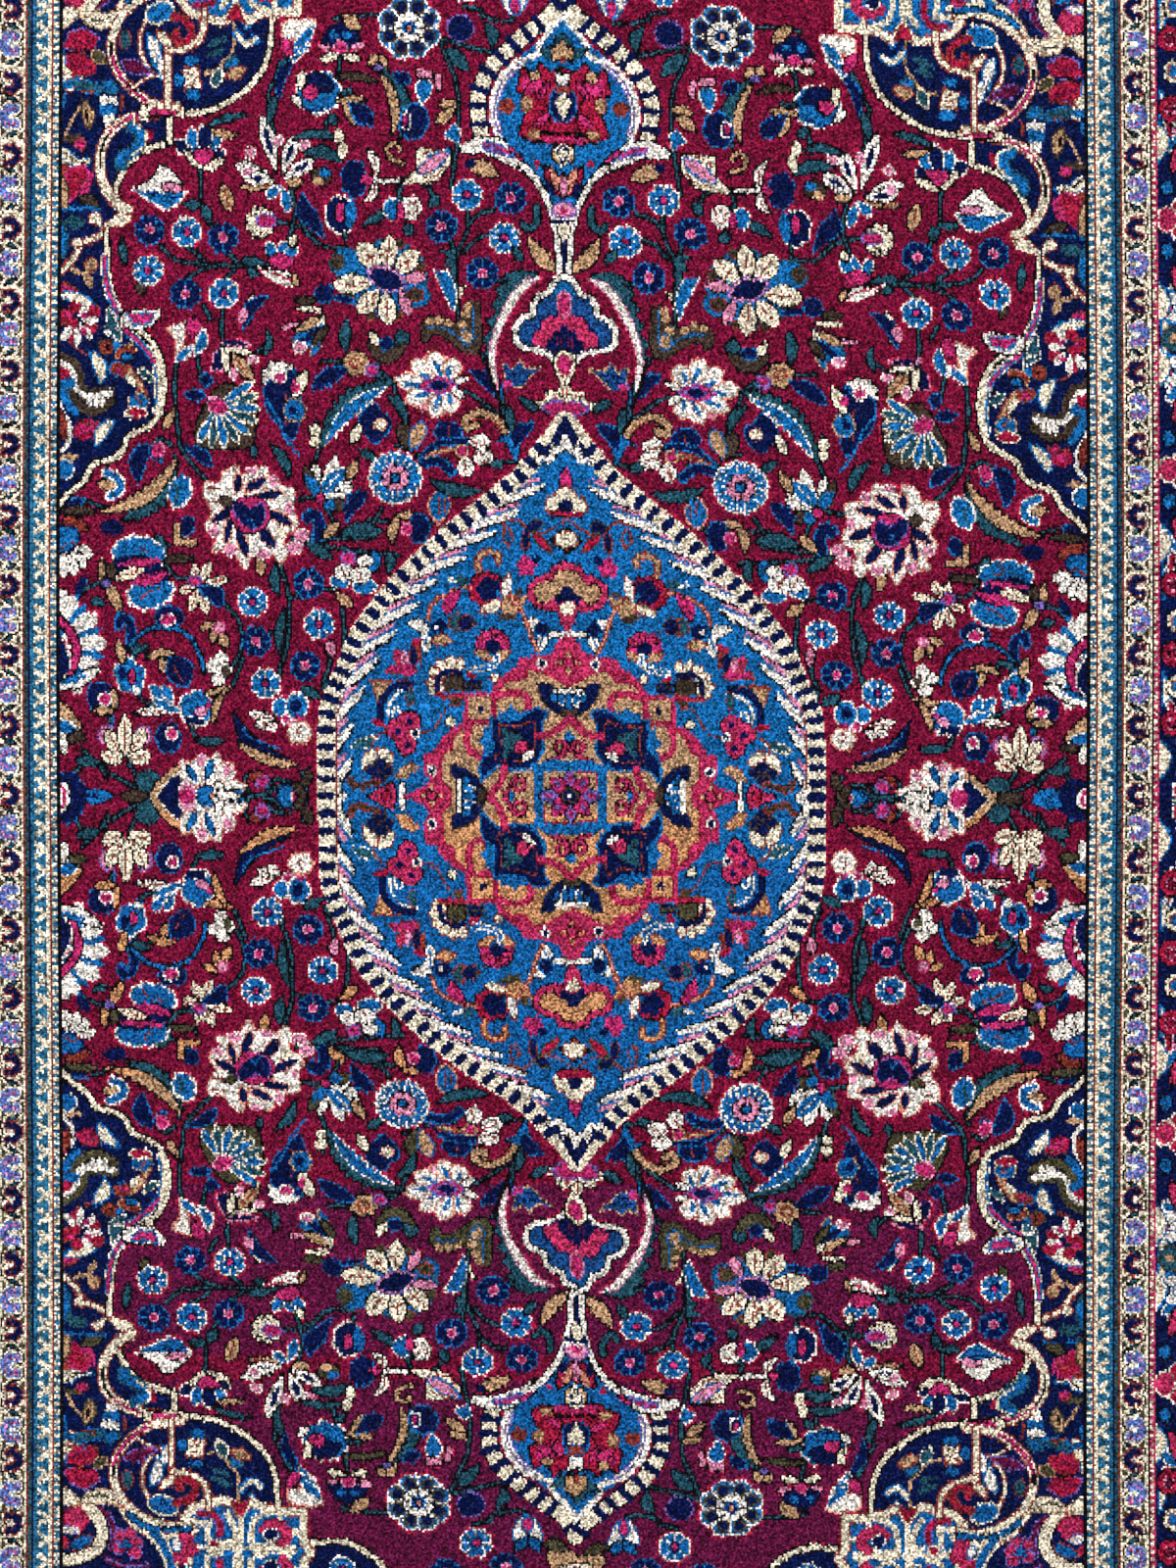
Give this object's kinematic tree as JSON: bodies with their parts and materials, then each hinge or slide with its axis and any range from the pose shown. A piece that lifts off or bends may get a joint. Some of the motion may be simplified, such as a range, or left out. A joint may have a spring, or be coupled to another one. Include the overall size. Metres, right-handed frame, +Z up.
{
  "type": "persian rug",
  "caption": "Hand-knotted medallion rug lying flat: patterned wool pile, kilim ends, overcast side cords and warp fringes.",
  "frame": {"origin": "on the floor under the middle of the rug", "axes": "+Z up out of the pile, +Y along the warps towards one fringed end, +X across the rug along the knot rows"},
  "size_m": [1.3266, 2.1244, 0.008],
  "materials": {
    "wool_pile": "knotted wool pile in crimson, navy, blue, cream and tan, slightly lustrous",
    "side_cord_wool": "wool yarn overcast round the side warps",
    "warp_cotton": "undyed twisted cotton, matte"
  },
  "bodies": {
    "root": {"woven_cloth": "wool_pile", "side_cord_left": "side_cord_wool", "side_cord_right": "side_cord_wool", "fringe_near": "warp_cotton", "fringe_far": "warp_cotton"}
  },
  "joints": []
}
